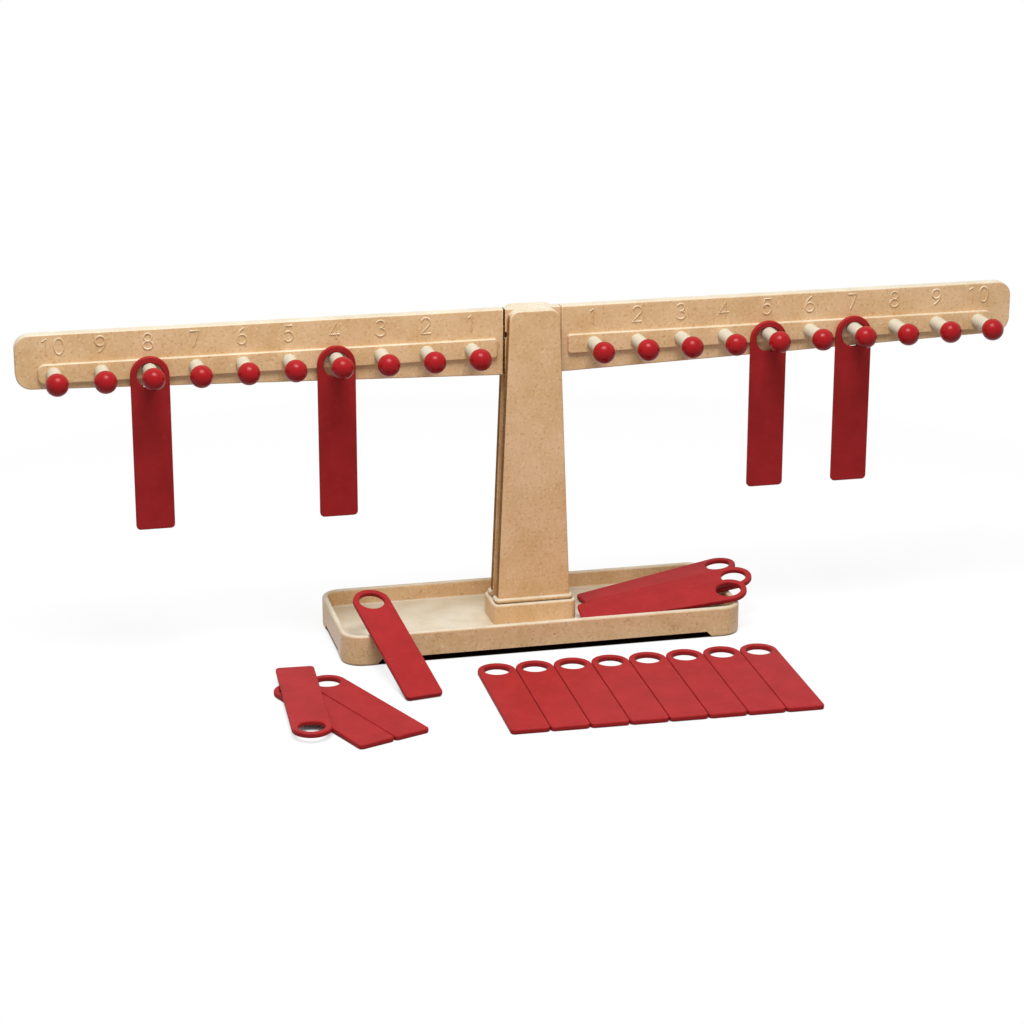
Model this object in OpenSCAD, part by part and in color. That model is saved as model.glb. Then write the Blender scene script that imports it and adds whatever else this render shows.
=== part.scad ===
// Number balance: a pegged beam on a tapered column, a tray base, and a set of flat ring-headed weights.
// Units are millimetres. Origin: centre of the base on the table, +X to the right, front at -Y, +Z up.

/* [Base tray] */
// Length of the tray along X
base_l = 264.4; // [240:0.2:300]
// Depth of the tray along Y
base_d = 93.6; // [80:0.2:120]
// Height of the tray rim above the table
base_h = 20.2; // [17:0.1:26]
// Thickness of the tray wall, whose rim is a full round
base_wall = 3.6; // [2.4:0.1:5]
// Outer radius of the tray corners
base_corner_r = 13.5; // [8:0.5:18]
// Height of the hollow under the tray floor
under_h = 6; // [5:0.1:7.5]
// Thickness of the tray floor
floor_t = 2.7; // [1.8:0.1:3.5]
// Length of each foot along the sides, measured from the end of the tray
foot_l = 20.7; // [16:0.1:25]
// Height of the cut-outs between the feet
cut_h = 4.2; // [3:0.1:5]
// Radius of the bottom outer edge of the feet
foot_r = 1.8; // [0.8:0.1:2.2]

/* [Socket] */
// Height of the socket rim above the table
socket_h = 22; // [18:0.1:28]
// Thickness of the socket wall
socket_wall = 3.4; // [2.4:0.1:5]
// Radius of the socket's inner corners
socket_inner_r = 0.4; // [0.2:0.1:1.5]
// Clearance round the column's foot
socket_clear = 0.2; // [0.1:0.05:0.4]

/* [Column] */
// Height of the column and of the beam's top edge above the table
column_h = 216.5; // [195:0.5:250]
// Width of the column at the socket rim
column_foot_w = 48.2; // [44:0.2:56]
// Width of the column at its top
column_top_w = 32.4; // [28:0.2:38]
// Thickness of each column shell along Y
shell_t = 7.2; // [6:0.1:10]
// Wall left round the hollow of each shell
shell_wall = 3; // [2:0.1:4]
// Radius of the column's top corners
column_top_r = 6; // [3:0.5:9]
// Distance of the core's sides behind the shell edges
core_inset = 7.5; // [5:0.1:9]
// Number of grip ribs on each side of the core
rib_count = 3; // [2:1:6]
// Spacing of the grip ribs
rib_pitch = 3.6; // [2.8:0.1:4.5]
// Radius of the ribs' round edges, which is half their thickness
rib_r = 0.9; // [0.5:0.1:1.2]
// Distance of the ribs' edges behind the shell edges
rib_inset = 2; // [1:0.1:3]
// Depth of the topmost rib below the top of the core
rib_drop = 12; // [8:0.5:20]
// Radius of the bead round the column's foot
bead_r = 1.5; // [1:0.1:2]
// How far the bead stands out from the shells
bead_proud = 2; // [1.6:0.1:3]
// Gap between the bead and the socket rim
bead_gap = 0.2; // [0.1:0.05:0.5]

/* [Pivot] */
// Diameter of the pivot pin
pin_d = 6; // [4:0.2:8]
// Depth of the pin's blind bore in each shell
pin_bite = 5; // [3:0.2:5.5]
// Radial clearance of the pin in the shells and at its ends
pin_seat = 0.05; // [0.02:0.01:0.1]
// Radial running clearance of the hub on the pin
pin_run = 0.08; // [0.03:0.01:0.1]
// Depth of the pivot below the top of the beam
pivot_drop = 13.5; // [11:0.5:16]
// Tilt of the beam to each side, in degrees
beam_tilt = 10; // [6:0.5:12]
// Room left between the beam and its stop at full tilt
stop_gap = 0.3; // [0.2:0.05:0.6]

/* [Beam] */
// Thickness of the beam along Y
beam_t = 8; // [6.5:0.1:10]
// Gap between the beam and each column shell
beam_clear = 0.3; // [0.2:0.05:0.6]
// Width of the hub that carries both arms
hub_w = 36.6; // [34:0.2:46]
// Height of the beam at the hub
beam_root_h = 43; // [38:0.5:50]
// Height of the beam at the tips of its arms
beam_tip_h = 34; // [28:0.5:37]
// Radius of the corners at the tips
tip_r = 9.5; // [5:0.5:12]
// Length of the tongue that holds an arm in the hub
tongue_l = 12; // [8:0.5:13]
// Height of the tongue
tongue_h = 20; // [14:0.5:24]
// Thickness of the tongue
tongue_t = 4; // [3:0.1:5]
// Clearance round the tongue in its pocket
tongue_clear = 0.15; // [0.1:0.05:0.3]
// Seam between the left arm and the hub
left_seam = 1; // [0.1:0.05:1.5]
// Seam between the right arm and the hub
right_seam = 0.15; // [0.1:0.05:1.5]
// Radius of the half-round notch in the hub's left end
notch_r = 2.2; // [1:0.1:3]
// Depth of the notch below the top of the beam
notch_drop = 16.9; // [14:0.1:20]

/* [Rails and pegs] */
// Number of pegs on each arm
peg_count = 10; // [8:1:12]
// Spacing of the pegs
peg_pitch = 29.1; // [26:0.1:34]
// Distance of the first peg from the root of its arm
peg_root = 21; // [19:0.1:26]
// Depth of the peg axes below the top of the beam
peg_drop = 24.7; // [22:0.1:27]
// Distance from the last peg to the tip of the arm
tip_margin = 23.2; // [18:0.1:30]
// Height of the raised rail that carries the pegs
rail_h = 12.6; // [11:0.1:14]
// How far the rail stands out from the arm
rail_proud = 2; // [1:0.1:3]
// Length of the rail before the first peg
rail_inner = 16.8; // [13:0.1:18.5]
// Length of the rail past the last peg
rail_outer = 9.7; // [8:0.1:14]
// Radius of the rail's corners
rail_corner_r = 2; // [0.5:0.1:4]
// Diameter of the peg stems
stem_d = 9; // [7:0.1:10]
// Length of a stem between the rail and the knob
stem_l = 20.1; // [16:0.1:26]
// Depth of a stem's blind bore in the rail and the arm
stem_bite = 8; // [5:0.1:9]
// Radial clearance of the stem in its bore and of the knob on its spigot
stem_seat = 0.05; // [0.02:0.01:0.1]
// Diameter of the knob at the end of a peg
knob_d = 14.2; // [12:0.1:16]
// Distance of the knob's flat seat behind its centre
knob_seat = 5.4; // [4.5:0.1:5.6]
// Diameter of the spigot that holds the knob
spigot_d = 5; // [3:0.1:6]
// Length of the spigot
spigot_l = 6; // [4:0.1:8]

/* [Weights] */
// Width of a weight, and diameter of its round head
weight_w = 24.2; // [21:0.1:26]
// Length of a weight from its foot to the top of its head
weight_l = 111.4; // [95:0.2:125]
// Thickness of a weight
weight_t = 3.2; // [2.4:0.1:4]
// Diameter of the hole in a weight's head
weight_hole_d = 16.3; // [15:0.1:17.5]
// Radius of a weight's foot corners
weight_foot_r = 2.7; // [1:0.1:5]

/* [Laid-out set] */
// Pegs that carry a weight on the left arm
left_loaded = [8, 4]; // [1:1:8]
// Pegs that carry a weight on the right arm
right_loaded = [5, 7]; // [1:1:8]
// Gap between a hanging weight and the stem that carries it
hang_gap = 0.1; // [0.05:0.05:0.3]
// Gap between a hanging weight and the rail behind it
hang_back = 0.6; // [0.3:0.1:1.5]
// Gap between weights, and between a weight and what it lies on
lay_gap = 0.3; // [0.2:0.05:0.6]
// Number of weights in the row in front of the tray
row_count = 8; // [4:1:9]
// Middle of the row along X
row_x = 45.2; // [30:0.1:60]
// Distance from the tray to the heads of the row
row_front = 22.5; // [15:0.1:40]
// Turn of the row on the table, in degrees
row_turn = -1.2; // [-3:0.1:3]
// Distance of the middle of the pile's right-hand weight beyond the tray's left end
pile_out = 0.1; // [-4:0.1:8]
// Distance from the tray to the middle of that weight
pile_front = 69.2; // [66:0.1:90]
// Turn of the two lower weights of the pile, in degrees
pile_turn = 21; // [18:0.5:26]
// Shift of the pile's top weight from its right-hand one along X
pile_top_dx = -35.9; // [-40:0.1:-30]
// Shift of the pile's top weight from its right-hand one along Y
pile_top_dy = 6.4; // [0:0.1:12]
// Turn of the pile's top weight, in degrees
pile_top_turn = 176.8; // [170:0.2:184]
// Distance of the leaning weight's foot from the tray's left end
lean_in = 39; // [36:0.1:44]
// Distance from the tray to the leaning weight's foot
lean_front = 63.4; // [55:0.1:75]
// Turn of the leaning weight, in degrees
lean_turn = 9.5; // [4:0.5:12]
// Gap between the socket and the front fanned weight's foot
fan_gap = 0.5; // [0.3:0.1:3]
// Distance of the two other fanned weights' feet from that line
fan_in = 12.4; // [10:0.1:16]
// Distance of the front fanned weight's foot from the tray's front wall
fan_front_in = 9.4; // [8:0.1:12]
// Distance of its front edge from that wall where the tray's corner begins
fan_front_out = 3.2; // [2:0.1:6]
// Step along Y from the front fanned weight's front edge to the middle one's, at their feet
fan_middle_step = 9.5; // [9:0.1:12]
// Step along Y from the middle fanned weight's front edge to the rear one's, at their feet
fan_rear_step = 21.9; // [20:0.1:24]
// Distance of the rear fanned weight's head from the tray's rear wall
fan_rear_room = 6.6; // [4:0.1:9]
// Angle between the rear and the middle fanned weight, in degrees
fan_spread = 4.7; // [3:0.1:7]

/* [Hidden] */
$fn = 64;
over = 1;
fibre = "#D9B585";
fibre_dark = "#C79F6C";
cream = "#F0DFB8";
knob_red = "#B3202C";
weight_red = "#A32430";
steel = "#B8B8B8";

base_hx = base_l / 2;
base_hy = base_d / 2;
floor_z = under_h + floor_t;
rim_r = base_wall / 2;

shell_gap = beam_t + 2 * beam_clear;
column_d = shell_gap + 2 * shell_t;
foot_hx = column_foot_w / 2;
foot_hy = column_d / 2;
top_hx = column_top_w / 2;
taper = (foot_hx - top_hx) / (column_h - socket_h);
taper_a = atan(taper);
socket_hx = foot_hx + socket_clear + socket_wall;
socket_hy = foot_hy + socket_clear + socket_wall;
bead_z = socket_h + bead_gap + bead_r;

pivot_z = column_h - pivot_drop;
root_z = column_h - beam_root_h;
root_x = (hub_w + left_seam + right_seam) / 2;
hub_shift = (left_seam - right_seam) / 2;
core_hx = column_hx(root_z) - core_inset;
core_h = pivot_z - (pivot_z - root_z) / cos(beam_tilt) - core_hx * tan(beam_tilt) - stop_gap;
tongue_z = column_h - beam_root_h / 2;

arm_l = peg_root + (peg_count - 1) * peg_pitch + tip_margin;
arm_slope = (beam_root_h - beam_tip_h) / arm_l;
arm_a = atan(arm_slope);
peg_z = column_h - peg_drop;
rail_y = beam_t / 2 + rail_proud;
seat_y = rail_y + stem_l;

head_r = weight_w / 2;
hole_r = weight_hole_d / 2;
head_l = weight_l - head_r;
hang_drop = hole_r - stem_d / 2 - hang_gap;
lay_pitch = weight_w + lay_gap;

lean_x = lean_in - base_hx;
pile_x = -base_hx - pile_out;

// The leaning weight's right edge meets the tray's round rim: pitch of the line that touches it.
lean_run = (lean_front + rim_r - head_r * sin(lean_turn)) / cos(lean_turn);
lean_rise = base_h - rim_r;
lean_pitch = touch_angle(lean_run, lean_rise, rim_r + lay_gap);

// The fan: each weight's front edge lies on the tray's floor and rim, and its rear part on the next weight.
fan_x = socket_hx + fan_gap;
fan_z = floor_z + lay_gap;
fan_rise = base_h - rim_r - fan_z;
fan_front_y = base_wall - base_hy + fan_front_in;
fan_middle_y = fan_front_y + fan_middle_step;
fan_rear_y = fan_middle_y + fan_rear_step;
fan_corner_dx = base_hx - base_corner_r - fan_x;
fan_corner_dy = base_corner_r - base_hy - fan_front_y;
fan_front_turn = -atan2(fan_front_in - fan_front_out, fan_corner_dx);
fan_rear_turn = asin((base_hy - base_wall - fan_rear_room - weight_w - fan_rear_y) / head_l);
fan_middle_turn = fan_rear_turn - fan_spread;
fan_front_run = chord_end(fan_corner_dx, fan_corner_dy, fan_front_turn, base_corner_r - rim_r);
fan_front_pitch = touch_angle(fan_front_run, fan_rise, rim_r + 2 * lay_gap);
fan_middle_pitch = touch_angle(rim_run(fan_middle_turn), fan_rise, rim_r + lay_gap);
fan_rear_pitch = touch_angle(rim_run(fan_rear_turn), fan_rise, rim_r + lay_gap);
fan_layer = weight_t + 1.5 * lay_gap;
fan_front_reach = fan_middle_step - fan_in * tan(fan_front_turn);
fan_front_roll = asin((fan_layer - fan_in * sin(fan_front_pitch)) / fan_front_reach);
fan_middle_roll = asin(fan_layer / fan_rear_step);

// Half the column's width at a height
function column_hx(z) = foot_hx - taper * max(0, z - socket_h);

// Distance of a peg from the pivot along X
function peg_x(n) = root_x + peg_root + (n - 1) * peg_pitch;

// Slope of a line from a point to a circle that it touches from above, at a run and a rise from the point
function touch_angle(run, rise, r) = atan2(rise, run) + asin(r / norm([run, rise]));

// Length of a line at an angle, from a point to where it leaves a circle centred at dx, dy from that point
function chord_end(dx, dy, angle, r) =
    dx * cos(angle) + dy * sin(angle) + sqrt(r * r - pow(dy * cos(angle) - dx * sin(angle), 2));

// Length of a fanned weight's front edge from its foot to the middle of the tray's right-hand rim
function rim_run(turn) = (base_hx - rim_r - fan_x - fan_in) / cos(turn);

// Rectangle with round corners, about the origin
module round_rect(hx, hy, r) {
    square([2 * (hx - r), 2 * hy], center = true);
    square([2 * hx, 2 * (hy - r)], center = true);
    for (sx = [-1, 1], sy = [-1, 1])
        translate([sx * (hx - r), sy * (hy - r)])
            circle(r);
}

// A profile carried round a rectangle with round corners: its x is the distance from the corner's centre
module ring(hx, hy, r) {
    for (turn = [0, 180]) rotate(turn) {
        translate([hx - r, 0, 0])
            rotate([90, 0, 0])
                linear_extrude(2 * (hy - r), center = true)
                    children();
        rotate(90)
            translate([hy - r, 0, 0])
                rotate([90, 0, 0])
                    linear_extrude(2 * (hx - r), center = true)
                        children();
        translate([hx - r, hy - r, 0])
            rotate_extrude(angle = 90)
                children();
        translate([r - hx, hy - r, 0])
            rotate(90)
                rotate_extrude(angle = 90)
                    children();
    }
}

// Upright wall with a full round rim, from one height to another, outer face at x = outer
module wall_profile(outer, wall, low, high) {
    translate([outer - wall, low])
        square([wall, high - low - wall / 2]);
    translate([outer - wall / 2, high - wall / 2])
        circle(wall / 2);
}

// Tray wall: a full round rim and a rounded bottom outer edge
module tray_profile() {
    wall_profile(base_corner_r, base_wall, foot_r, base_h);
    translate([base_corner_r - base_wall, 0])
        square([base_wall - foot_r, 2 * foot_r]);
    translate([base_corner_r - foot_r, foot_r])
        circle(foot_r);
}

// Opening between two feet, with ends at 45 degrees, running through both walls along Y
module foot_cut(half, reach) {
    rotate([90, 0, 0])
        linear_extrude(2 * reach, center = true)
            polygon([
                [-half - over, -over],
                [half + over, -over],
                [half - cut_h, cut_h],
                [cut_h - half, cut_h]
            ]);
}

module base_tray() {
    color(fibre) difference() {
        union() {
            ring(base_hx, base_hy, base_corner_r)
                tray_profile();
            translate([0, 0, under_h])
                linear_extrude(floor_t)
                    round_rect(base_hx - rim_r, base_hy - rim_r, base_corner_r - rim_r);
            ring(socket_hx, socket_hy, socket_wall + socket_inner_r)
                wall_profile(socket_wall + socket_inner_r, socket_wall, floor_z - floor_t / 2, socket_h);
        }
        foot_cut(base_hx - foot_l, base_hy + over);
        rotate(90)
            foot_cut(base_hy - foot_l, base_hx + over);
    }
}

// Outline of a column shell in the XZ plane: straight foot, tapered sides, round top corners
module shell_outline() {
    corner_z = column_h - column_top_r;
    corner_x = column_hx(corner_z) - column_top_r / cos(taper_a);
    edge_x = corner_x + column_top_r * cos(taper_a);
    edge_z = corner_z + column_top_r * sin(taper_a);
    translate([-foot_hx, floor_z])
        square([column_foot_w, socket_h - floor_z]);
    polygon([
        [-foot_hx, socket_h],
        [foot_hx, socket_h],
        [edge_x, edge_z],
        [corner_x, column_h],
        [-corner_x, column_h],
        [-edge_x, edge_z]
    ]);
    for (side = [-1, 1])
        translate([side * corner_x, corner_z])
            circle(column_top_r);
}

// Hollow of a shell, open towards the core and closed by it
module shell_hollow() {
    low = floor_z + shell_wall;
    high = core_h - shell_wall;
    low_hx = column_hx(low) - core_inset - shell_wall;
    high_hx = column_hx(high) - core_inset - shell_wall;
    polygon([[-low_hx, low], [low_hx, low], [high_hx, high], [-high_hx, high]]);
}

// Half-round bead round the foot of the column, for the front shell only
module foot_bead() {
    bead_corner_r = bead_proud + socket_inner_r + over;
    intersection() {
        translate([0, 0, bead_z])
            ring(foot_hx + bead_proud, foot_hy + bead_proud, bead_corner_r) {
                translate([bead_corner_r - bead_r, 0])
                    circle(bead_r);
                translate([socket_inner_r, -bead_r])
                    square([bead_corner_r - bead_r - socket_inner_r, 2 * bead_r]);
            }
        translate([-column_foot_w, -column_d - shell_gap / 2, socket_h])
            cube([2 * column_foot_w, column_d, bead_z]);
    }
}

// Front shell of the column: the rear one is its mirror image
module shell() {
    color(fibre) difference() {
        union() {
            translate([0, -shell_gap / 2, 0])
                rotate([90, 0, 0])
                    linear_extrude(shell_t)
                        shell_outline();
            foot_bead();
        }
        translate([0, over - shell_gap / 2, 0])
            rotate([90, 0, 0])
                linear_extrude(shell_t - shell_wall + over)
                    shell_hollow();
        translate([0, 0, pivot_z])
            rotate([90, 0, 0])
                cylinder(r = pin_d / 2 + pin_seat, h = shell_gap / 2 + pin_bite);
    }
}

module column_front() {
    shell();
}

module column_rear() {
    mirror([0, 1, 0])
        shell();
}

// Core between the shells: its top is the stop for the beam, its sides have grip ribs
module column_core() {
    low_hx = foot_hx - core_inset;
    top_core_hx = column_hx(core_h) - core_inset;
    color(fibre_dark) rotate([90, 0, 0]) linear_extrude(shell_gap, center = true) {
        polygon([
            [-low_hx, floor_z],
            [low_hx, floor_z],
            [low_hx, socket_h],
            [top_core_hx, core_h],
            [-top_core_hx, core_h],
            [-low_hx, socket_h]
        ]);
        for (n = [0 : rib_count - 1], side = [-1, 1]) {
            rib_z = core_h - rib_drop - n * rib_pitch;
            rib_x = column_hx(rib_z) - rib_inset - rib_r;
            translate([side * rib_x, rib_z])
                circle(rib_r);
            translate([side * (rib_x - core_inset / 2), rib_z])
                square([core_inset, 2 * rib_r], center = true);
        }
    }
}

module pivot_pin() {
    color(steel) translate([0, 0, pivot_z])
        rotate([90, 0, 0])
            cylinder(d = pin_d, h = shell_gap + 2 * (pin_bite - pin_seat), center = true);
}

// Hub between the shells, with a pocket for a tongue in each end and a notch in the left one
module beam_hub() {
    pocket_x = root_x - tongue_l - tongue_clear;
    color(fibre) difference() {
        translate([hub_shift - hub_w / 2, -beam_t / 2, root_z])
            cube([hub_w, beam_t, beam_root_h]);
        for (side = [0, 1]) mirror([side, 0, 0])
            translate([pocket_x, -tongue_t / 2 - tongue_clear, tongue_z - tongue_h / 2 - tongue_clear])
                cube([hub_w, tongue_t + 2 * tongue_clear, tongue_h + 2 * tongue_clear]);
        translate([hub_shift - hub_w / 2, 0, column_h - notch_drop])
            rotate([90, 0, 0])
                cylinder(r = notch_r, h = beam_t + 2 * over, center = true);
        translate([0, 0, pivot_z])
            rotate([90, 0, 0])
                cylinder(r = pin_d / 2 + pin_run, h = beam_t + 2 * over, center = true);
    }
}

// Outline of an arm in the XZ plane, from its root at x = 0: level top, sloping bottom, round tip corners
module arm_outline() {
    low_x = arm_l - tip_r;
    low_z = root_z + arm_slope * low_x + tip_r / cos(arm_a);
    high_z = column_h - tip_r;
    polygon([
        [0, root_z],
        [low_x + tip_r * sin(arm_a), low_z - tip_r * cos(arm_a)],
        [arm_l, low_z],
        [arm_l, high_z],
        [low_x, column_h],
        [0, column_h]
    ]);
    translate([low_x, low_z])
        circle(tip_r);
    translate([low_x, high_z])
        circle(tip_r);
}

// Outline of the raised rail: a bar with round corners
module rail_outline() {
    rail_from = peg_root - rail_inner;
    rail_to = arm_l - tip_margin + rail_outer;
    translate([(rail_from + rail_to) / 2, peg_z])
        round_rect((rail_to - rail_from) / 2, rail_h / 2, rail_corner_r);
}

// Right arm with its tongue, its rail and the blind bores for its stems
module arm() {
    color(fibre) difference() {
        union() {
            translate([root_x, beam_t / 2, 0])
                rotate([90, 0, 0])
                    linear_extrude(beam_t)
                        arm_outline();
            translate([root_x, 0, 0])
                rotate([90, 0, 0])
                    linear_extrude(rail_y)
                        rail_outline();
            translate([root_x - tongue_l, -tongue_t / 2, tongue_z - tongue_h / 2])
                cube([tongue_l + over, tongue_t, tongue_h]);
        }
        for (n = [1 : peg_count])
            translate([peg_x(n), stem_bite - rail_y, peg_z])
                rotate([90, 0, 0])
                    cylinder(r = stem_d / 2 + stem_seat, h = stem_bite + over);
    }
}

module right_arm() {
    arm();
}

module left_arm() {
    mirror([1, 0, 0])
        arm();
}

// Stem from its blind bore to the knob's seat, and the spigot inside the knob
module stem() {
    rotate([90, 0, 0]) {
        translate([0, 0, rail_y - stem_bite + stem_seat])
            cylinder(d = stem_d, h = stem_bite - stem_seat + stem_l);
        translate([0, 0, seat_y - over])
            cylinder(d = spigot_d, h = spigot_l + over);
    }
}

// All the stems of one arm: side is -1 on the left and 1 on the right
module peg_stems(side) {
    color(cream)
        for (n = [1 : peg_count])
            translate([side * peg_x(n), 0, peg_z])
                stem();
}

// Round knob with a flat seat and a blind bore for the spigot, its centre in front of the seat
module knob(side, n) {
    color(knob_red) translate([side * peg_x(n), -seat_y, peg_z]) rotate([90, 0, 0]) difference() {
        translate([0, 0, knob_seat])
            sphere(d = knob_d);
        translate([0, 0, -knob_d])
            cylinder(d = 2 * knob_d, h = knob_d);
        translate([0, 0, -over])
            cylinder(r = spigot_d / 2 + stem_seat, h = spigot_l + stem_seat + over);
    }
}

// Weight lying flat: foot edge centred on the origin, head towards +Y, underside at z = 0
module weight() {
    color(weight_red) linear_extrude(weight_t) difference() {
        union() {
            translate([-head_r, weight_foot_r])
                square([weight_w, head_l - weight_foot_r]);
            translate([weight_foot_r - head_r, 0])
                square([weight_w - 2 * weight_foot_r, 2 * weight_foot_r]);
            for (side = [-1, 1])
                translate([side * (head_r - weight_foot_r), weight_foot_r])
                    circle(weight_foot_r);
            translate([0, head_l])
                circle(head_r);
        }
        translate([0, head_l])
            circle(hole_r);
    }
}

// Weight hanging by its hole from a peg
module hung_weight(side, n) {
    translate([side * peg_x(n), -rail_y - hang_back, peg_z - hang_drop - head_l])
        rotate([90, 0, 0])
            weight();
}

// Weight of the level row, counted from the left
module row_weight(n) {
    translate([row_x, -base_hy - row_front, 0])
        rotate(row_turn)
            translate([(n - (row_count + 1) / 2) * lay_pitch, -weight_l, 0])
                weight();
}

// Lower weight of the pile: step 0 is the right-hand one, step 1 lies beside it on the left
module pile_weight(step) {
    translate([pile_x, -base_hy - pile_front, 0])
        rotate(pile_turn)
            translate([-step * lay_pitch, -weight_l / 2, 0])
                weight();
}

// Top weight of the pile, lying across the two others
module pile_weight_top() {
    translate([pile_x + pile_top_dx, pile_top_dy - base_hy - pile_front, weight_t + lay_gap])
        rotate(pile_top_turn)
            translate([0, -weight_l / 2, 0])
                weight();
}

// Weight with its foot on the table and its head over the tray's front rim
module leaning_weight() {
    translate([lean_x, -base_hy - lean_front, 0])
        rotate(lean_turn)
            rotate([lean_pitch, 0, 0])
                weight();
}

// Fanned weight: its front edge rises from the tray floor at a pitch, and it rolls up about that edge
module fan_weight(foot_in, foot_y, turn, pitch, roll) {
    translate([fan_x + foot_in, foot_y, fan_z])
        rotate(turn - 90)
            rotate([pitch, 0, 0])
                rotate([0, roll, 0])
                    translate([-head_r, 0, 0])
                        weight();
}

module fan_weight_front() {
    fan_weight(0, fan_front_y, fan_front_turn, fan_front_pitch, fan_front_roll);
}

module fan_weight_middle() {
    fan_weight(fan_in, fan_middle_y, fan_middle_turn, fan_middle_pitch, fan_middle_roll);
}

module fan_weight_rear() {
    fan_weight(fan_in, fan_rear_y, fan_rear_turn, fan_rear_pitch, 0);
}

base_tray();
column_front();
column_rear();
column_core();
pivot_pin();
beam_hub();
left_arm();
right_arm();
peg_stems(-1);  // left_peg_stems
peg_stems(1);  // right_peg_stems
for (n = [1 : peg_count]) {
    knob(-1, n);
    knob(1, n);
}
for (n = left_loaded)
    hung_weight(-1, n);
for (n = right_loaded)
    hung_weight(1, n);
for (n = [1 : row_count])
    row_weight(n);
pile_weight(1);  // pile_weight_left
pile_weight(0);  // pile_weight_right
pile_weight_top();
leaning_weight();
fan_weight_front();
fan_weight_middle();
fan_weight_rear();
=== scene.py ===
import math

import bmesh
import bpy
from mathutils import Matrix, Vector


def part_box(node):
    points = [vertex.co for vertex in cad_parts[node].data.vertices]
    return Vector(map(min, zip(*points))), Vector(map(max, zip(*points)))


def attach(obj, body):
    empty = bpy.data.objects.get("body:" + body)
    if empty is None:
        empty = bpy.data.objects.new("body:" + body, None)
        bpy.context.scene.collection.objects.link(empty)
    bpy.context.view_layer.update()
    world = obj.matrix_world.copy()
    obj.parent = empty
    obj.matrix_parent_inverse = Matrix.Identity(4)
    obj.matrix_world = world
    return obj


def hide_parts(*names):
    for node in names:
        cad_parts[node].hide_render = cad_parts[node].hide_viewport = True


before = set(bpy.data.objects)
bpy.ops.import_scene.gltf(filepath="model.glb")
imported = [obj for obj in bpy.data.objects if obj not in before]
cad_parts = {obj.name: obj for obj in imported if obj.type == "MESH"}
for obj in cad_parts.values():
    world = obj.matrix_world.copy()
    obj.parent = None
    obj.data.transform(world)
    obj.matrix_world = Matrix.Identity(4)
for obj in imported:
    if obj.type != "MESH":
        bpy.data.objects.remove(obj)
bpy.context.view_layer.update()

# Number balance with ring-headed weights: sizes in millimetres, as in the CAD model
MM = 0.001
# How near counts as the same place, how near points are merged, and how far a cutter reaches past its cut
NEAR = 0.01
MERGE = 0.001
OVER = 1.0
# Edges sharper than this are rounded, and edges flatter than that are shaded smooth
SHARP = math.radians(28)
SMOOTH = math.radians(40)
# Cosines of two directions: above the first three they are the same, parallel or roughly the same,
# and below the last they cross
SAME_WAY = 0.999
PARALLEL = 0.99
MOSTLY = 0.9
CROSSING = 0.5
# Sides of round shapes
BORE_SIDES = 48
KNOB_SIDES = 48
HEAD_SIDES = 64
ARC_STEP = 12

# Tray and its socket
TRAY_HX = 132.2
TRAY_HY = 46.8
RIM_Z = 20.2
TRAY_WALL = 3.6
TRAY_CORNER_R = 13.5
UNDER_Z = 6.0
FLOOR_Z = 8.7
FLOOR_FILLET = 1.6
RIM_R = 1.78
FOOT_R = 1.7
FOOT_L = 20.7
CUT_Z = 4.2
SOCKET_HX = 27.7
SOCKET_HY = 15.1
SOCKET_Z = 22.0
SOCKET_WALL = 3.4
SOCKET_CORNER_R = 3.8
SOCKET_RIM_R = 1.6

# Column shells and the bead round their foot
TOP_Z = 216.5
SHELL_FOOT_HX = 24.1
SHELL_TOP_HX = 16.2
SHELL_TOP_R = 6.0
COLUMN_HY = 11.5
GAP_HY = 4.3
SHELL_EDGE_R = 1.1
SHELL_INNER_R = 0.5
BEAD_HX = 26.1
BEAD_HY = 13.5
BEAD_Z = 22.2
BEAD_H = 3.0
BEAD_R = 1.45
BEAD_CORNER_R = 3.4
PIN_Z = 203.0
PIN_BORE_R = 3.05
PIN_BITE = 5.0

# Hub and arms of the beam
BEAM_HY = 4.0
BEAM_EDGE_R = 0.9
HUB_EDGE_R = 0.6
HUB_BORE_R = 3.08
NOTCH_R = 2.2
NOTCH_Z = 199.6
ROOT_X = 18.875
ROOT_Z = 173.5
TIP_X = 324.975
TIP_RISE = 9.0
TIP_R = 9.5
TONGUE_L = 12.0
TONGUE_HZ = 10.0
TONGUE_HY = 2.0
TONGUE_Z = 195.0
TONGUE_CLEAR = 0.15

# Rails, pegs and numerals
PEG_COUNT = 10
PEG_X = 39.875
PEG_PITCH = 29.1
PEG_Z = 191.8
RAIL_FROM = 23.075
RAIL_TO = 311.475
RAIL_HZ = 6.3
RAIL_CORNER_R = 2.0
RAIL_TIP_R = 4.5
RAIL_Y = 6.0
RAIL_EDGE_R = 0.9
BORE_R = 4.55
BORE_Y = 2.0
STEM_R = 4.5
STEM_EDGE_R = 0.4
SEAT_Y = 26.1
SPIGOT_R = 2.5
SPIGOT_L = 6.0
KNOB_R = 7.1
KNOB_SEAT = 5.4
KNOB_EDGE_R = 0.5
NUMERAL_H = 10.0
NUMERAL_Z = 203.75
STROKE_R = 0.68
STROKE_SINK = 0.2
TEN_SPREAD = 4.0

# Weights
WEIGHT_T = 3.2
HEAD_R = 12.1
HEAD_Y = 99.3
HOLE_R = 8.15
FOOT_CORNER_R = 2.7
WEIGHT_EDGE_R = 0.9

# How each kind of weight is turned from lying flat, head towards +Y: degrees about X, then Y, then Z
TURNS = {
    "hung": (90, 0, 0),
    "row": (0, 0, -1.2),
    "pile_weight_top": (0, 0, 176.8),
    "pile": (0, 0, 21),
    "leaning": (17.83, 0, 9.5),
}
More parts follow.
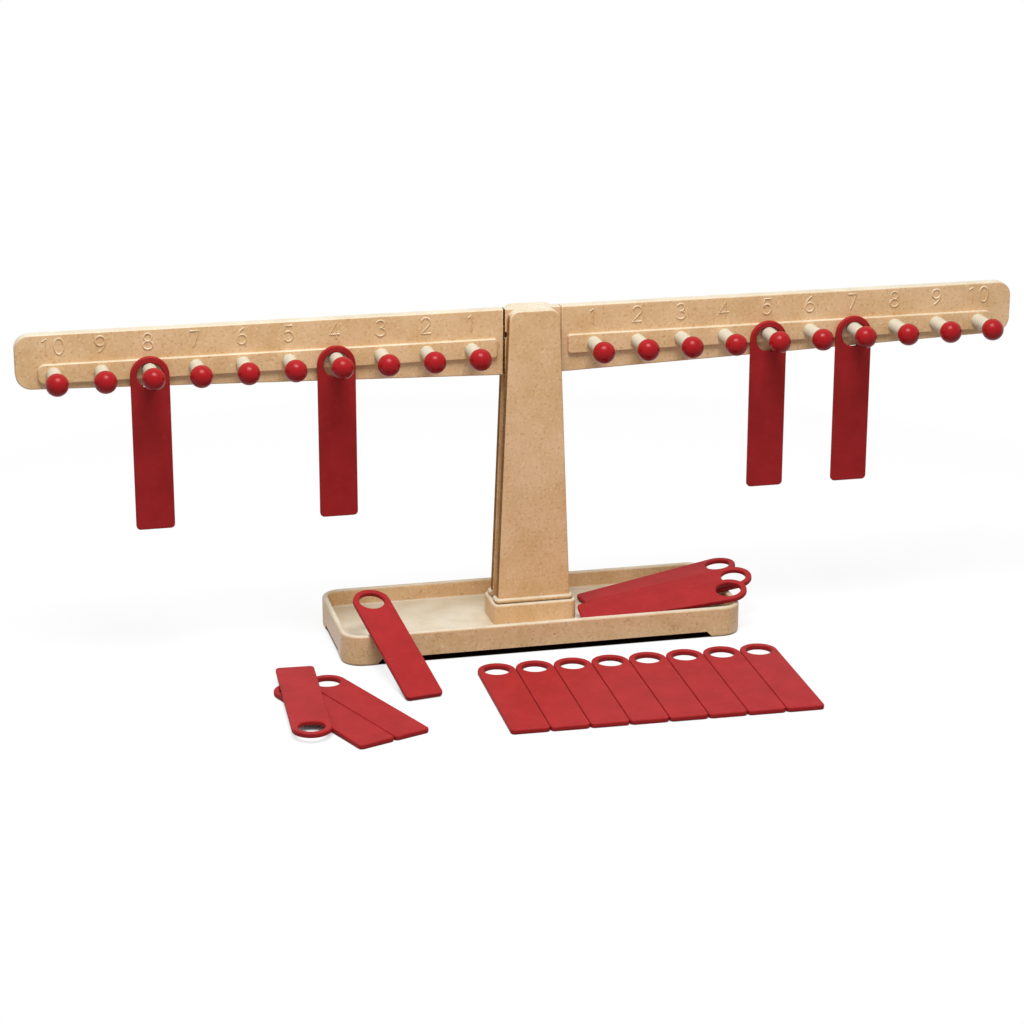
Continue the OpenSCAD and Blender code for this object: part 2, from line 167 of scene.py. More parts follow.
# The fanned weights: direction from +X, rise towards the head, and roll up from the front edge
FAN = {
    "fan_weight_front": (-3.919, 6.749, 12.232),
    "fan_weight_middle": (3.871, 7.292, 9.594),
    "fan_weight_rear": (8.571, 7.228, 0),
}

# Floor, light and camera: metres, watts and degrees, with the lens in millimetres
FLOOR_SIZE = 14
SHADE_REACH = 0.012
WHITE_FROM = 0.3
WHITE_TO = 0.6
ROOM_LIGHT = 0.5
LAMP_PLACE = (-0.15, -0.5, 1.4)
LAMP_AIM = (0, 0, 0.1)
LAMP_WIDTH = 0.7
LAMP_DEPTH = 0.55
LAMP_POWER = 21.5
CAMERA_PLACE = (-0.41065, -1.6745, 0.63785)
CAMERA_TURN = -13.385
CAMERA_DIP = 17.952
CAMERA_ROLL = 0.08
LENS = 98.03
SENSOR = 36


# Making and selecting
def only(piece):
    """Makes a piece the only thing selected."""
    bpy.ops.object.select_all(action="DESELECT")
    piece.select_set(True)
    bpy.context.view_layer.objects.active = piece


def settle(name):
    """Names the primitive that was just added and puts its place into its mesh."""
    bpy.ops.object.transform_apply(location=True, rotation=True, scale=True)
    piece = bpy.context.object
    piece.name = name
    return piece


def block(name, low, high):
    """Adds a block between two corners."""
    low = Vector(low) * MM
    high = Vector(high) * MM
    bpy.ops.object.select_all(action="DESELECT")
    bpy.ops.mesh.primitive_cube_add(size=1, location=(low + high) / 2, scale=high - low)
    return settle(name)


def rod(name, radius, start, end, sides=BORE_SIDES):
    """Adds a cylinder between the middles of its ends."""
    start = Vector(start) * MM
    end = Vector(end) * MM
    turn = (end - start).to_track_quat("Z", "Y").to_euler()
    bpy.ops.object.select_all(action="DESELECT")
    bpy.ops.mesh.primitive_cylinder_add(
        vertices=sides,
        radius=radius * MM,
        depth=(end - start).length,
        location=(start + end) / 2,
        rotation=turn,
    )
    return settle(name)


def along(axis):
    """A test for edges that run along an axis."""
    return lambda a, b: abs((b - a).normalized()[axis]) > PARALLEL


def level(axis, *places):
    """A test for edges that lie at one of the places along an axis."""
    return lambda a, b: any(abs(a[axis] - p) < NEAR and abs(b[axis] - p) < NEAR for p in places)


def anywhere(a, b):
    """A test that every edge passes."""
    return True


def pick_edges(piece, *tests):
    """Enters edit mode with only those sharp edges selected whose two ends pass all the tests."""
    only(piece)
    bpy.ops.object.mode_set(mode="EDIT")
    bpy.ops.mesh.select_mode(type="EDGE")
    bpy.ops.mesh.select_all(action="DESELECT")
    shape = bmesh.from_edit_mesh(piece.data)
    for edge in shape.edges:
        a, b = (end.co / MM for end in edge.verts)
        sharp = edge.calc_face_angle(0) > SHARP
        edge.select_set(sharp and all(test(a, b) for test in tests))
    bmesh.update_edit_mesh(piece.data)


def pick_faces(piece, normal):
    """Enters edit mode with only the faces selected that look along a normal."""
    only(piece)
    bpy.ops.object.mode_set(mode="EDIT")
    bpy.ops.mesh.select_mode(type="FACE")
    bpy.ops.mesh.select_all(action="DESELECT")
    shape = bmesh.from_edit_mesh(piece.data)
    for face in shape.faces:
        face.select_set(face.normal.dot(Vector(normal)) > SAME_WAY)
    bmesh.update_edit_mesh(piece.data)


def pick_all(piece):
    """Enters edit mode with the whole piece selected."""
    only(piece)
    bpy.ops.object.mode_set(mode="EDIT")
    bpy.ops.mesh.select_all(action="SELECT")


def leave():
    """Leaves edit mode."""
    bpy.ops.object.mode_set(mode="OBJECT")


def round_edges(piece, radius, steps, *tests):
    """Rounds the sharp edges that pass the tests."""
    pick_edges(piece, *tests)
    bpy.ops.mesh.bevel(
        offset=radius * MM, offset_type="OFFSET", segments=steps, profile=0.5, affect="EDGES"
    )
    leave()


def push(piece, normal, x=0.0, y=0.0, z=0.0):
    """Extrudes the faces that look along a normal."""
    pick_faces(piece, normal)
    bpy.ops.mesh.extrude_region_move(TRANSFORM_OT_translate={"value": Vector((x, y, z)) * MM})
    leave()


def sink(piece, normal, wall, depth):
    """Insets the face that looks along a normal by a wall and pushes it in."""
    pick_faces(piece, normal)
    bpy.ops.mesh.inset(thickness=wall * MM, use_even_offset=True)
    bpy.ops.mesh.extrude_region_move(TRANSFORM_OT_translate={"value": Vector(normal) * -depth * MM})
    leave()


def slice_off(piece, place, keep):
    """Cuts a piece at a place, closes the cut and keeps the side that a direction points to."""
    pick_all(piece)
    bpy.ops.mesh.bisect(
        plane_co=Vector(place) * MM, plane_no=keep, use_fill=True, clear_inner=True, threshold=MERGE * MM
    )
    leave()


def modify(piece, kind, **settings):
    """Adds a modifier and applies it."""
    only(piece)
    modifier = piece.modifiers.new(kind.lower(), kind)
    for name, value in settings.items():
        setattr(modifier, name, value)
    bpy.ops.object.modifier_apply(modifier=modifier.name)


def combine(piece, tool, operation):
    """Fuses a tool shape to a piece, or cuts it out, and removes the tool."""
    modify(piece, "BOOLEAN", object=tool, operation=operation, solver="EXACT")
    bpy.data.objects.remove(tool)


def join(pieces, name):
    """Joins pieces into one."""
    only(pieces[0])
    for piece in pieces:
        piece.select_set(True)
    bpy.ops.object.join()
    pieces[0].name = name
    return pieces[0]


def duplicate(piece, name, turn=(0, 0, 0), shift=(0, 0, 0)):
    """Copies a piece with its own mesh, turned about the origin in degrees and then shifted."""
    only(piece)
    bpy.ops.object.duplicate(linked=False)
    made = bpy.context.object
    made.rotation_euler = [math.radians(angle) for angle in turn]
    made.location = Vector(shift) * MM
    return settle(name)


def mirrored(piece, name, x=1, y=1):
    """Copies a piece to the other side of the origin."""
    made = duplicate(piece, name)
    pick_all(made)
    bpy.ops.transform.resize(value=(x, y, 1), center_override=(0, 0, 0))
    bpy.ops.mesh.normals_make_consistent(inside=False)
    leave()
    return made


def complete(piece, body, slot, finish, *nodes):
    """Smooths a piece, gives it its finish and its body, and hides its CAD nodes."""
    only(piece)
    bpy.ops.object.shade_smooth_by_angle(angle=SMOOTH)
    modify(piece, "WEIGHTED_NORMAL", keep_sharp=True)
    piece.data.materials.clear()
    piece.data.materials.append(finish)
    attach(piece, body)
    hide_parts(*nodes)


def refinish(piece, finish, test):
    """Gives a second finish to the faces that pass a test of their middle and their normal."""
    piece.data.materials.append(finish)
    for face in piece.data.polygons:
        if test(face.center / MM, face.normal):
            face.material_index = 1


# Finishes, with the sockets of a node that mixes colours: its two colours and its result
FIRST = 6
SECOND = 7
MIXED = 2


def linear(code):
    """Turns an sRGB hex colour into the linear colour that nodes take."""
    parts = [int(code[i:i + 2], 16) / 255 for i in (1, 3, 5)]
    return [c / 12.92 if c <= 0.04045 else ((c + 0.055) / 1.055) ** 2.4 for c in parts] + [1]


def per(size):
    """Texture scale for features of a size in millimetres."""
    return 1 / (size * MM)


def put(tree, kind, inputs, **settings):
    """Adds a node: its settings, then each input as a value or as a link from another node's output."""
    made = tree.nodes.new(kind)
    for name, value in settings.items():
        setattr(made, name, value)
    for name, value in inputs.items():
        if isinstance(value, bpy.types.NodeSocket):
            tree.links.new(value, made.inputs[name])
        else:
            made.inputs[name].default_value = value
    return made


def blank(name):
    """A material with nothing but its output, and the place of each point on the piece."""
    material = bpy.data.materials.new(name)
    material.use_nodes = True
    tree = material.node_tree
    tree.nodes.clear()
    place = put(tree, "ShaderNodeTexCoord", {}).outputs["Object"]
    return material, tree, place


def close(tree, shader):
    """Links the finished shader to the material's output."""
    put(tree, "ShaderNodeOutputMaterial", {"Surface": shader})


def wood_fibre(name, dark, light, gloss):
    """Moulded wood-fibre composite: cloudy ground, bran flecks, pale fibres, painted top light on the faces
    that look up, and a satin or dull skin.
    """
    material, tree, place = blank(name)
    clouds = put(tree, "ShaderNodeTexNoise", {
        "Vector": place, "Scale": per(22), "Detail": 4.0, "Roughness": 0.6,
    })
    cloud_mask = put(tree, "ShaderNodeMapRange", {
        "Value": clouds.outputs["Fac"], "From Min": 0.35, "From Max": 0.65,
    })
    ground = put(tree, "ShaderNodeMix", {
        "Factor": cloud_mask.outputs["Result"], FIRST: linear(dark), SECOND: linear(light),
    }, data_type="RGBA")
    # Fine flecks of bran and bark, under a millimetre across
    flecks = put(tree, "ShaderNodeTexNoise", {
        "Vector": place, "Scale": per(1.9), "Detail": 3.0, "Roughness": 0.6,
    })
    fleck_mask = put(tree, "ShaderNodeMapRange", {
        "Value": flecks.outputs["Fac"], "From Min": 0.55, "From Max": 0.73, "To Max": 0.55,
    })
    flecked = put(tree, "ShaderNodeMix", {
        "Factor": fleck_mask.outputs["Result"], FIRST: ground.outputs[MIXED], SECOND: linear("#9A5E33"),
    }, data_type="RGBA")
    # Pale fibres between the flecks
    fibres = put(tree, "ShaderNodeTexNoise", {"Vector": place, "Scale": per(1.7), "Detail": 2.0})
    fibre_mask = put(tree, "ShaderNodeMapRange", {
        "Value": fibres.outputs["Fac"], "From Min": 0.56, "From Max": 0.72, "To Max": 0.35,
    })
    mottled = put(tree, "ShaderNodeMix", {
        "Factor": fibre_mask.outputs["Result"], FIRST: flecked.outputs[MIXED], SECOND: linear("#F4DCB4"),
    }, data_type="RGBA")
    # Painted top light: faces that look up are mixed towards a pale grey-cream, standing in for the
    # overhead lamp's light and sheen on them
    facing = put(tree, "ShaderNodeNewGeometry", {})
    upright = put(tree, "ShaderNodeSeparateXYZ", {"Vector": facing.outputs["Normal"]})
    painted_top_light_mask = put(tree, "ShaderNodeMapRange", {
        "Value": upright.outputs["Z"], "From Min": 0.1, "From Max": 0.8, "To Max": 0.78,
    })
    pale = put(tree, "ShaderNodeMix", {
        "Factor": cloud_mask.outputs["Result"], FIRST: linear("#BDB59E"), SECOND: linear("#CBC7B6"),
    }, data_type="RGBA")
    colour = put(tree, "ShaderNodeMix", {
        "Factor": painted_top_light_mask.outputs["Result"], FIRST: mottled.outputs[MIXED], SECOND: pale.outputs[MIXED],
    }, data_type="RGBA")
    shine = put(tree, "ShaderNodeMapRange", {
        "Value": clouds.outputs["Fac"], "From Min": 0.3, "From Max": 0.7, "To Min": 0.44, "To Max": 0.34,
    })
    relief = put(tree, "ShaderNodeBump", {
        "Height": fibres.outputs["Fac"], "Strength": 0.12, "Distance": 0.2 * MM,
    })
    skin = put(tree, "ShaderNodeBsdfPrincipled", {
        "Base Color": colour.outputs[MIXED],
        "Roughness": shine.outputs["Result"],
        "Normal": relief.outputs["Normal"],
        "IOR": 1.5,
        "Specular IOR Level": gloss,
    })
    close(tree, skin.outputs["BSDF"])
    return material


def red_strip():
    """Moulded polypropylene, dyed red: an even matte skin with faint cloudy and scuffed patches."""
    material, tree, place = blank("red_matte_polypropylene")
    clouds = put(tree, "ShaderNodeTexNoise", {
        "Vector": place, "Scale": per(16), "Detail": 4.0, "Roughness": 0.6,
    })
    cloud_mask = put(tree, "ShaderNodeMapRange", {
        "Value": clouds.outputs["Fac"], "From Min": 0.35, "From Max": 0.65,
    })
    ground = put(tree, "ShaderNodeMix", {
        "Factor": cloud_mask.outputs["Result"], FIRST: linear("#931A1B"), SECOND: linear("#9E1F21"),
    }, data_type="RGBA")
    scuffs = put(tree, "ShaderNodeTexNoise", {
        "Vector": place, "Scale": per(5), "Detail": 5.0, "Roughness": 0.7,
    })
    scuff_mask = put(tree, "ShaderNodeMapRange", {
        "Value": scuffs.outputs["Fac"], "From Min": 0.55, "From Max": 0.75, "To Max": 0.35,
    })
    colour = put(tree, "ShaderNodeMix", {
        "Factor": scuff_mask.outputs["Result"], FIRST: ground.outputs[MIXED], SECOND: linear("#AE383B"),
    }, data_type="RGBA")
    grain = put(tree, "ShaderNodeTexNoise", {"Vector": place, "Scale": per(0.9), "Detail": 2.0})
    relief = put(tree, "ShaderNodeBump", {
        "Height": grain.outputs["Fac"], "Strength": 0.1, "Distance": 0.15 * MM,
    })
    skin = put(tree, "ShaderNodeBsdfPrincipled", {
        "Base Color": colour.outputs[MIXED],
        "Roughness": 0.58,
        "Normal": relief.outputs["Normal"],
        "IOR": 1.45,
        "Specular IOR Level": 0.2,
    })
    close(tree, skin.outputs["BSDF"])
    return material


def red_knob():
    """Lacquered red ball: deep colour under a satin lacquer that shows the lamp as a soft spot."""
    material, tree, place = blank("red_satin_lacquer")
    clouds = put(tree, "ShaderNodeTexNoise", {"Vector": place, "Scale": per(6), "Detail": 3.0})
    colour = put(tree, "ShaderNodeMix", {
        "Factor": clouds.outputs["Fac"], FIRST: linear("#960F14"), SECOND: linear("#A21319"),
    }, data_type="RGBA")
    shine = put(tree, "ShaderNodeMapRange", {
        "Value": clouds.outputs["Fac"], "From Min": 0.3, "From Max": 0.7, "To Min": 0.24, "To Max": 0.32,
    })
    skin = put(tree, "ShaderNodeBsdfPrincipled", {
        "Base Color": colour.outputs[MIXED],
        "Roughness": shine.outputs["Result"],
        "IOR": 1.5,
        "Specular IOR Level": 0.16,
    })
    close(tree, skin.outputs["BSDF"])
    return material


def cream_stem():
    """Cream nylon, turned and polished: nearly plain, with a faint grain along the stem."""
    material, tree, place = blank("cream_nylon")
    stretched = put(tree, "ShaderNodeMapping", {"Vector": place, "Scale": (1, 0.2, 1)})
    grain = put(tree, "ShaderNodeTexNoise", {
        "Vector": stretched.outputs["Vector"], "Scale": per(2), "Detail": 3.0,
    })
    colour = put(tree, "ShaderNodeMix", {
        "Factor": grain.outputs["Fac"], FIRST: linear("#BEB8A3"), SECOND: linear("#CEC9B8"),
    }, data_type="RGBA")
    skin = put(tree, "ShaderNodeBsdfPrincipled", {
        "Base Color": colour.outputs[MIXED], "Roughness": 0.42, "IOR": 1.5,
    })
    close(tree, skin.outputs["BSDF"])
    return material


def steel_pin():
    """Ground steel rod: grey metal with fine grinding marks round it."""
    material, tree, place = blank("ground_steel")
    stretched = put(tree, "ShaderNodeMapping", {"Vector": place, "Scale": (0.1, 1, 0.1)})
    marks = put(tree, "ShaderNodeTexNoise", {
        "Vector": stretched.outputs["Vector"], "Scale": per(0.5), "Detail": 2.0,
    })
    shine = put(tree, "ShaderNodeMapRange", {"Value": marks.outputs["Fac"], "To Min": 0.25, "To Max": 0.4})
    skin = put(tree, "ShaderNodeBsdfPrincipled", {
        "Base Color": linear("#B9BBBD"), "Metallic": 1.0, "Roughness": shine.outputs["Result"],
    })
    close(tree, skin.outputs["BSDF"])
    return material


def seen_directly(tree):
    """One for what the camera sees, also by gloss or through glass, and nought for light on the pieces."""
    sight = put(tree, "ShaderNodeLightPath", {})
    seen = put(tree, "ShaderNodeMath", {
        0: sight.outputs["Is Camera Ray"], 1: sight.outputs["Is Glossy Ray"],
    }, operation="MAXIMUM")
    seen = put(tree, "ShaderNodeMath", {
        0: seen.outputs["Value"], 1: sight.outputs["Is Transmission Ray"],
    }, operation="MAXIMUM")
    return seen.outputs["Value"]


def paper_floor():
    """Matt white paper: white to the eye, with the pieces' soft shade on it, partly painted, and a painted
    dark shadow under the tray.
    """
    material, tree, place = blank("white_paper")
    seen = seen_directly(tree)
    # The tray's outline with its round corners: one under the tray, nought beside it
    half = put(tree, "ShaderNodeVectorMath", {0: place}, operation="ABSOLUTE")
    corner = Vector((TRAY_HX - TRAY_CORNER_R, TRAY_HY - TRAY_CORNER_R, 0)) * MM
    past = put(tree, "ShaderNodeVectorMath", {0: half.outputs["Vector"], 1: corner}, operation="SUBTRACT")
    past = put(tree, "ShaderNodeVectorMath", {0: past.outputs["Vector"], 1: (0, 0, 0)}, operation="MAXIMUM")
    past = put(tree, "ShaderNodeVectorMath", {0: past.outputs["Vector"]}, operation="LENGTH")
    under = put(tree, "ShaderNodeMapRange", {
        "Value": past.outputs["Value"],
        "From Min": (TRAY_CORNER_R - FOOT_R / 3) * MM,
        "From Max": (TRAY_CORNER_R - FOOT_R) * MM,
    })
    beside = put(tree, "ShaderNodeMath", {0: 1.0, 1: under.outputs["Result"]}, operation="SUBTRACT")
    tone = put(tree, "ShaderNodeMix", {
        "Factor": seen, FIRST: linear("#8C8C8C"), SECOND: linear("#F2F2F2"),
    }, data_type="RGBA")
    # Painted shadow: under the tray's outline the paper turns dark brown, standing in for the deep shade
    # beneath it
    tone = put(tree, "ShaderNodeMix", {
        "Factor": under.outputs["Result"], FIRST: tone.outputs[MIXED], SECOND: linear("#241A10"),
    }, data_type="RGBA")
    # White light by itself, except under the tray and close to the pieces, where an ambient-occlusion mask
    # lets the lit paper show: a contact shade that is partly real shadow and partly painted
    creases = put(tree, "ShaderNodeAmbientOcclusion", {"Distance": SHADE_REACH}, samples=8)
    open_sky = put(tree, "ShaderNodeMapRange", {
        "Value": creases.outputs["AO"], "From Min": 0.15, "From Max": 0.6, "To Max": 0.85,
    }, interpolation_type="SMOOTHSTEP")
    reach = put(tree, "ShaderNodeVectorMath", {0: place}, operation="LENGTH")
    far = put(tree, "ShaderNodeMapRange", {
        "Value": reach.outputs["Value"], "From Min": WHITE_FROM, "From Max": WHITE_TO,
    })
    bare = put(tree, "ShaderNodeMath", {
        0: far.outputs["Result"], 1: open_sky.outputs["Result"],
    }, operation="MAXIMUM")
    bare = put(tree, "ShaderNodeMath", {
        0: bare.outputs["Value"], 1: beside.outputs["Value"],
    }, operation="MULTIPLY")
    white = put(tree, "ShaderNodeMath", {
        0: bare.outputs["Value"], 1: seen,
    }, operation="MULTIPLY")
    sheet = put(tree, "ShaderNodeBsdfDiffuse", {"Color": tone.outputs[MIXED]})
    glow = put(tree, "ShaderNodeEmission", {"Color": linear("#FFFFFF"), "Strength": 1.0})
    mixed = put(tree, "ShaderNodeMixShader", {
        0: white.outputs["Value"], 1: sheet.outputs["BSDF"], 2: glow.outputs["Emission"],
    })
    close(tree, mixed.outputs["Shader"])
    return material


# Pieces
def model_tray():
    """Tray: round corners and rim, a sunk floor, a hollow underside, four feet and the column's socket."""
    tray = block("tray", (-TRAY_HX, -TRAY_HY, 0), (TRAY_HX, TRAY_HY, RIM_Z))
    round_edges(tray, TRAY_CORNER_R, 12, along(2))
    sink(tray, (0, 0, 1), TRAY_WALL, RIM_Z - FLOOR_Z)
    sink(tray, (0, 0, -1), TRAY_WALL, UNDER_Z)
    round_edges(tray, RIM_R, 6, level(2, RIM_Z))
    round_edges(tray, FLOOR_FILLET, 4, level(2, FLOOR_Z))
    round_edges(tray, FOOT_R, 4, level(2, 0), outside_wall)
    for half, reach, turn in ((TRAY_HX - FOOT_L, TRAY_HY, 0), (TRAY_HY - FOOT_L, TRAY_HX, 90)):
        opening = block("opening", (-half - OVER, -reach - OVER, -OVER), (half + OVER, reach + OVER, CUT_Z))
        pick_faces(opening, (0, 0, 1))
        narrowing = (half - CUT_Z) / (half + OVER)
        bpy.ops.transform.resize(value=(narrowing, 1, 1), center_override=(0, 0, CUT_Z * MM))
        leave()
        opening.rotation_euler.z = math.radians(turn)
        combine(tray, opening, "DIFFERENCE")
    low_z = (FLOOR_Z + UNDER_Z) / 2
    socket = block("socket", (-SOCKET_HX, -SOCKET_HY, low_z), (SOCKET_HX, SOCKET_HY, SOCKET_Z))
    round_edges(socket, SOCKET_CORNER_R, 8, along(2))
    sink(socket, (0, 0, 1), SOCKET_WALL, SOCKET_Z - FLOOR_Z + OVER / 2)
    round_edges(socket, SOCKET_RIM_R, 5, level(2, SOCKET_Z))
    combine(tray, socket, "UNION")
    return tray


def outside_wall(a, b):
    """A test for edges of the tray's outer wall."""
    middle = (a + b) / 2
    inner_x = TRAY_HX - TRAY_WALL / 2
    inner_y = TRAY_HY - TRAY_WALL / 2
    corner = Vector((abs(middle.x) - TRAY_HX + TRAY_CORNER_R, abs(middle.y) - TRAY_HY + TRAY_CORNER_R))
    if corner.x > 0 and corner.y > 0:
        return corner.length > TRAY_CORNER_R - TRAY_WALL / 2
    return abs(middle.x) > inner_x or abs(middle.y) > inner_y


def model_shell():
    """Front shell of the column: tapered, with round top corners, a tenon and a bead above the socket."""
    shell = block("front_shell", (-SHELL_FOOT_HX, -COLUMN_HY, SOCKET_Z), (SHELL_FOOT_HX, -GAP_HY, TOP_Z))
    pick_faces(shell, (0, 0, 1))
    narrowing = SHELL_TOP_HX / SHELL_FOOT_HX
    bpy.ops.transform.resize(value=(narrowing, 1, 1), center_override=(0, 0, TOP_Z * MM))
    leave()
    push(shell, (0, 0, -1), z=FLOOR_Z - SOCKET_Z)
    round_edges(shell, SHELL_TOP_R, 10, along(1), level(2, TOP_Z))
    round_edges(shell, SHELL_EDGE_R, 4, level(1, -COLUMN_HY))
    round_edges(shell, SHELL_INNER_R, 3, level(1, -GAP_HY))
    bead = block("bead", (-BEAD_HX, -BEAD_HY, BEAD_Z), (BEAD_HX, -GAP_HY, BEAD_Z + BEAD_H))
    round_edges(bead, BEAD_CORNER_R, 8, along(2), level(1, -BEAD_HY))
    round_edges(bead, BEAD_R, 5, lambda a, b: min(a.y, b.y) < -GAP_HY - NEAR)
    combine(shell, bead, "UNION")
    bore = rod("bore", PIN_BORE_R, (0, 0, PIN_Z), (0, -GAP_HY - PIN_BITE, PIN_Z))
    combine(shell, bore, "DIFFERENCE")
    return shell


def shell_side(middle, normal):
    """A test for the narrow sides of a shell, above its bead, which get the painted shade."""
    return abs(normal.x) > MOSTLY and middle.z > BEAD_Z + BEAD_H


def model_hub():
    """Hub between the shells: bored for the pin, with two tongue pockets and a notch in its left end."""
    low, high = (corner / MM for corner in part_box("beam_hub"))
    hub = block("hub", low, high)
    round_edges(hub, HUB_EDGE_R, 3, anywhere)
    for side in (-1, 1):
        pocket_x = sorted((side * (ROOT_X - TONGUE_L - TONGUE_CLEAR), side * (ROOT_X + OVER)))
        half_y = TONGUE_HY + TONGUE_CLEAR
        half_z = TONGUE_HZ + TONGUE_CLEAR
        pocket = block(
            "pocket", (pocket_x[0], -half_y, TONGUE_Z - half_z), (pocket_x[1], half_y, TONGUE_Z + half_z)
        )
        combine(hub, pocket, "DIFFERENCE")
    notch = rod("notch", NOTCH_R, (low.x, -BEAM_HY - OVER, NOTCH_Z), (low.x, BEAM_HY + OVER, NOTCH_Z))
    combine(hub, notch, "DIFFERENCE")
    bore = rod("bore", HUB_BORE_R, (0, -BEAM_HY - OVER, PIN_Z), (0, BEAM_HY + OVER, PIN_Z))
    combine(hub, bore, "DIFFERENCE")
    return hub


def hub_end(middle, normal):
    """A test for the hub's left end and the wall of its notch, which get the dark painted shade."""
    notch_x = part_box("beam_hub")[0].x / MM
    in_notch = math.dist((middle.x, middle.z), (notch_x, NOTCH_Z)) < NOTCH_R + NEAR
    return normal.x < -MOSTLY or in_notch and abs(normal.y) < CROSSING


def peg_x(number):
    """Distance of a peg from the pivot."""
    return PEG_X + (number - 1) * PEG_PITCH


def model_arm():
    """Right arm: a tapered bar with a round tip, a raised rail bored for the stems, and a tongue."""
    arm = block("right_arm_bar", (ROOT_X, -BEAM_HY, ROOT_Z), (TIP_X, BEAM_HY, TOP_Z))
    pick_edges(arm, level(0, TIP_X), level(2, ROOT_Z))
    bpy.ops.transform.translate(value=(0, 0, TIP_RISE * MM))
    leave()
    round_edges(arm, TIP_R, 12, along(1), level(0, TIP_X))
    round_edges(arm, BEAM_EDGE_R, 4, level(1, -BEAM_HY, BEAM_HY))
    rail = block("rail", (RAIL_FROM, -RAIL_Y, PEG_Z - RAIL_HZ), (RAIL_TO, 0, PEG_Z + RAIL_HZ))
    round_edges(rail, RAIL_CORNER_R, 6, along(1), level(0, RAIL_FROM))
    round_edges(rail, RAIL_TIP_R, 8, along(1), level(0, RAIL_TO))
    round_edges(rail, RAIL_EDGE_R, 4, level(1, -RAIL_Y))
    combine(arm, rail, "UNION")
    tongue = block(
        "tongue",
        (ROOT_X - TONGUE_L, -TONGUE_HY, TONGUE_Z - TONGUE_HZ),
        (ROOT_X + OVER, TONGUE_HY, TONGUE_Z + TONGUE_HZ),
    )
    combine(arm, tongue, "UNION")
    for n in range(1, PEG_COUNT + 1):
        bore = rod("bore", BORE_R, (peg_x(n), BORE_Y, PEG_Z), (peg_x(n), -RAIL_Y - OVER, PEG_Z))
        combine(arm, bore, "DIFFERENCE")
    return arm


def left_tongue(middle, normal):
    """A test for the left arm's tongue, which gets the dark painted shade."""
    return middle.x > NEAR - ROOT_X


def model_stem():
    """Stem along Y on the pivot's line: a rod with a thinner spigot that goes into the knob."""
    stem = rod("stem", STEM_R, (0, BORE_Y, PEG_Z), (0, -SEAT_Y, PEG_Z))
    sink(stem, (0, -1, 0), STEM_R - SPIGOT_R, -SPIGOT_L)
    round_edges(stem, STEM_EDGE_R, 3, anywhere)
    return stem


def model_knob():
    """Knob about the origin: a ball with a flat seat towards +Y and a blind bore for the spigot."""
    bpy.ops.object.select_all(action="DESELECT")
    bpy.ops.mesh.primitive_uv_sphere_add(
        segments=KNOB_SIDES, ring_count=KNOB_SIDES // 2, radius=KNOB_R * MM, rotation=(math.pi / 2, 0, 0)
    )
    knob = settle("knob")
    slice_off(knob, (0, KNOB_SEAT, 0), (0, -1, 0))
    round_edges(knob, KNOB_EDGE_R, 3, anywhere)
    bore = rod("bore", SPIGOT_R, (0, KNOB_SEAT + OVER, 0), (0, KNOB_SEAT - SPIGOT_L, 0))
    combine(knob, bore, "DIFFERENCE")
    return knob


def model_weight():
    """Weight lying flat: foot edge on the origin, round head with a hole towards +Y, all edges softened."""
    weight = rod("weight", HEAD_R, (0, HEAD_Y, 0), (0, HEAD_Y, WEIGHT_T), HEAD_SIDES)
    slice_off(weight, (0, HEAD_Y, 0), (0, 1, 0))
    push(weight, (0, -1, 0), y=-HEAD_Y)
    round_edges(weight, FOOT_CORNER_R, 6, along(2), level(1, 0))
    hole = rod("hole", HOLE_R, (0, HEAD_Y, -OVER), (0, HEAD_Y, WEIGHT_T + OVER), HEAD_SIDES)
    combine(weight, hole, "DIFFERENCE")
    round_edges(weight, WEIGHT_EDGE_R, 4, anywhere)
    return weight


def weight_turn(node):
    """How a weight is turned, in degrees: as its kind is, or by its direction, rise and roll in the fan."""
    if node in FAN:
        direction, rise, roll = (math.radians(angle) for angle in FAN[node])
        tipped = Matrix.Rotation(rise, 3, "X") @ Matrix.Rotation(roll, 3, "Y")
        tipped = Matrix.Rotation(direction - math.pi / 2, 3, "Z") @ tipped
        return [math.degrees(angle) for angle in tipped.to_euler()]
    return next(turn for kind, turn in TURNS.items() if node.startswith(kind))


def arc(x, z, half_w, half_h, start, end):
    """Points of an upright elliptical arc, from a start to an end angle in degrees."""
    steps = max(2, round(abs(end - start) / ARC_STEP))
    angles = [math.radians(start + (end - start) * i / steps) for i in range(steps + 1)]
    return [(x + half_w * math.cos(a), z + half_h * math.sin(a)) for a in angles]


# Strokes of each numeral, one unit high
STROKES = {
    "0": [arc(0, 0.5, 0.3, 0.5, 90, 450)],
    "1": [[(-0.2, 0.84), (0.02, 1), (0.02, 0)]],
    "2": [arc(0, 0.72, 0.28, 0.28, 165, -38) + [(-0.3, 0), (0.3, 0)]],
    "3": [arc(0, 0.76, 0.25, 0.24, 155, -90) + arc(0, 0.26, 0.3, 0.26, 78, -155)],
    "4": [[(0.12, 0), (0.12, 1), (-0.32, 0.28), (0.32, 0.28)]],
    "5": [[(0.25, 1), (-0.18, 1), (-0.24, 0.54)] + arc(-0.02, 0.32, 0.3, 0.32, 130, -145)],
    "6": [arc(0, 0.3, 0.29, 0.3, 90, 450), arc(0.32, 0.3, 0.61, 0.74, 180, 108)],
    "7": [[(-0.3, 1), (0.3, 1), (-0.12, 0)]],
    "8": [arc(0, 0.76, 0.24, 0.24, 90, 450), arc(0, 0.26, 0.3, 0.26, 90, 450)],
    "9": [arc(0, 0.7, 0.29, 0.3, 90, 450), arc(-0.32, 0.7, 0.61, 0.74, 0, -72)],
}


